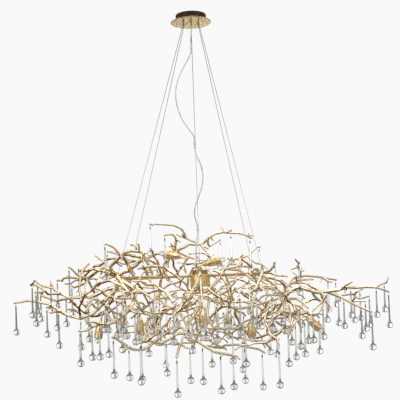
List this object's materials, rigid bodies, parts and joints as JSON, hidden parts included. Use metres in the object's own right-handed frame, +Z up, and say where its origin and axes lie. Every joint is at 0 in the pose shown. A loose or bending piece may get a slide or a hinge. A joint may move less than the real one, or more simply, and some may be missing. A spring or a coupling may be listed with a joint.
{
  "type": "branch chandelier",
  "caption": "Ceiling chandelier of cast brass boughs on a bar frame, hung on steel wires from a round canopy, with glass ball drops and small lamps.",
  "frame": {"origin": "centre of the ceiling screw circle, on the ceiling face of the bracket", "axes": "+Z up to the ceiling, +X to the right and -Y towards the viewer in the picture"},
  "size_m": [1.8528, 1.2916, 1.8294],
  "materials": {
    "cast_brass": "satin, brown in the recesses",
    "brass": "satin",
    "dark_brass": "antiqued",
    "bronze_paint": "satin",
    "bracket_steel": "zinc plated",
    "steel": "satin",
    "drop_glass": "clear",
    "bulb_glass": "clear",
    "clear_plastic": "clear",
    "gland_plastic": "matt",
    "ceramic": "glazed"
  },
  "bodies": {
    "fixture": {"ceiling_bracket": "bracket_steel", "canopy_drum": "bronze_paint", "canopy_plate": "brass", "canopy_screws": "steel", "terminal_block": "ceramic", "cord_glands": "gland_plastic", "wire_grips": "brass", "suspension_wires": "steel", "centre_wire": "steel", "power_cord": "clear_plastic", "cord_clips": "clear_plastic", "wire_anchors": "brass", "hub_can": "brass", "hub_lid": "dark_brass", "hub_knob": "brass", "hub_rod": "steel", "hub_terminal": "ceramic", "beam_left": "brass", "beam_right": "brass", "spoke_front": "brass", "spoke_back": "brass", "frame_braces": "brass", "cross_bar_left": "brass", "cross_bar_right": "brass", "lamp_arms": "brass", "lamp_sleeves": "brass", "lampholders": "ceramic", "bulbs": "bulb_glass", "bough_left_high": "cast_brass", "bough_left_star": "cast_brass", "bough_left_mid": "cast_brass", "bough_left_low": "cast_brass", "bough_left_under": "cast_brass", "bough_low_left": "cast_brass", "bough_low_arc": "cast_brass", "bough_crown": "cast_brass", "bough_centre_left": "cast_brass", "bough_right_star": "cast_brass", "bough_right_fork": "cast_brass", "bough_right_high": "cast_brass", "bough_right_main": "cast_brass", "bough_right_under": "cast_brass", "bough_bottom": "cast_brass", "bough_bottom_right": "cast_brass", "sprig_front_left": "cast_brass", "sprig_front_middle": "cast_brass", "sprig_front_right": "cast_brass", "sprig_back_left": "cast_brass", "sprig_back_middle": "cast_brass", "sprig_back_right": "cast_brass", "drop_hooks": "steel", "drops_short": "drop_glass", "drops_mid": "drop_glass", "drops_long": "drop_glass"},
    "end_drop_1": {"end_drop_1": "drop_glass"},
    "end_drop_2": {"end_drop_2": "drop_glass"},
    "end_drop_3": {"end_drop_3": "drop_glass"},
    "end_drop_4": {"end_drop_4": "drop_glass"},
    "end_drop_5": {"end_drop_5": "drop_glass"},
    "end_drop_6": {"end_drop_6": "drop_glass"}
  },
  "joints": [
    {"name": "end_drop_1_swing", "type": "hinge", "parent": "fixture", "child": "end_drop_1", "pos_m": [-0.89768, -0.03051, -1.39767], "axis": [0, 1, 0], "range_deg": [-55, 55]},
    {"name": "end_drop_2_swing", "type": "hinge", "parent": "fixture", "child": "end_drop_2", "pos_m": [-0.53673, -0.42382, -1.53208], "axis": [0, 1, 0], "range_deg": [-12, 55]},
    {"name": "end_drop_3_swing", "type": "hinge", "parent": "fixture", "child": "end_drop_3", "pos_m": [-0.38586, -0.47681, -1.56587], "axis": [0, 1, 0], "range_deg": [-40, 55]},
    {"name": "end_drop_4_swing", "type": "hinge", "parent": "fixture", "child": "end_drop_4", "pos_m": [0.27083, -0.2613, -1.66088], "axis": [0, 1, 0], "range_deg": [-55, 55]},
    {"name": "end_drop_5_swing", "type": "hinge", "parent": "fixture", "child": "end_drop_5", "pos_m": [0.7816, -0.25159, -1.49801], "axis": [0, 1, 0], "range_deg": [-55, 55]},
    {"name": "end_drop_6_swing", "type": "hinge", "parent": "fixture", "child": "end_drop_6", "pos_m": [0.92206, 0.02521, -1.40989], "axis": [0, 1, 0], "range_deg": [-55, 24]}
  ]
}
